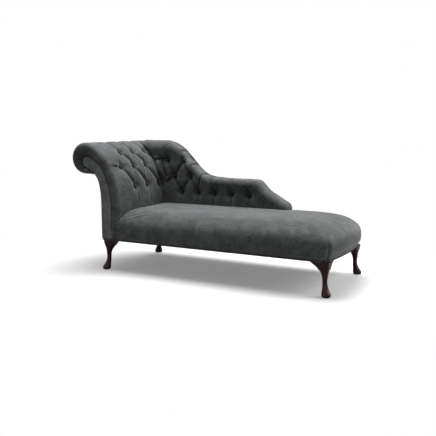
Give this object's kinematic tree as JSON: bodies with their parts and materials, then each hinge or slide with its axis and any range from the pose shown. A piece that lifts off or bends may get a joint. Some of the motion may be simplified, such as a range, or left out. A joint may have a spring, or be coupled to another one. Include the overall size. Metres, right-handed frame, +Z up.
{
  "type": "chaise longue",
  "caption": "Velvet chaise longue with a scrolled arm at one end, a buttoned back that sweeps down along the rear, a crowned seat and cabriole legs.",
  "frame": {"origin": "middle of the footprint, on the floor", "axes": "+X from the scrolled arm towards the foot end, +Y towards the back rest, +Z up"},
  "size_m": [1.645, 0.6218, 0.756],
  "materials": {
    "velvet": "mottled short pile",
    "velvet_trim": "short pile over cord",
    "foam": "open cell",
    "frame_wood": "sawn beech",
    "plywood": "sanded",
    "lining_board": "pressed board",
    "webbing": "woven elastic",
    "lining_cloth": "spun cloth",
    "mahogany": "polished dark mahogany",
    "steel": "zinc plated",
    "glide_plastic": "moulded"
  },
  "bodies": {
    "root": {"inside_arm_cover": "velvet", "inside_back_cover": "velvet", "seat_cover": "velvet", "outside_arm_cover": "velvet", "outside_back_cover": "velvet", "arm_front_facing": "velvet", "arm_rear_facing": "velvet", "facing_piping": "velvet_trim", "bottom_welt": "velvet_trim", "arm_buttons": "velvet_trim", "back_buttons": "velvet_trim", "seat_foam": "foam", "arm_foam": "foam", "back_foam": "foam", "front_seat_rail": "frame_wood", "rear_seat_rail": "frame_wood", "head_end_rail": "frame_wood", "foot_end_rail": "frame_wood", "seat_cross_rails": "frame_wood", "corner_blocks": "frame_wood", "arm_top_rail": "frame_wood", "arm_middle_rail": "frame_wood", "arm_lower_rail": "frame_wood", "back_posts": "frame_wood", "arm_front_board": "plywood", "arm_rear_board": "plywood", "back_board": "plywood", "arm_lining": "lining_board", "seat_webbing": "webbing", "dust_cover": "lining_cloth", "leg_front_head": "mahogany", "leg_front_foot": "mahogany", "leg_rear_head": "mahogany", "leg_rear_foot": "mahogany", "leg_bolts": "steel", "leg_nuts": "steel", "leg_glides": "glide_plastic"}
  },
  "joints": []
}
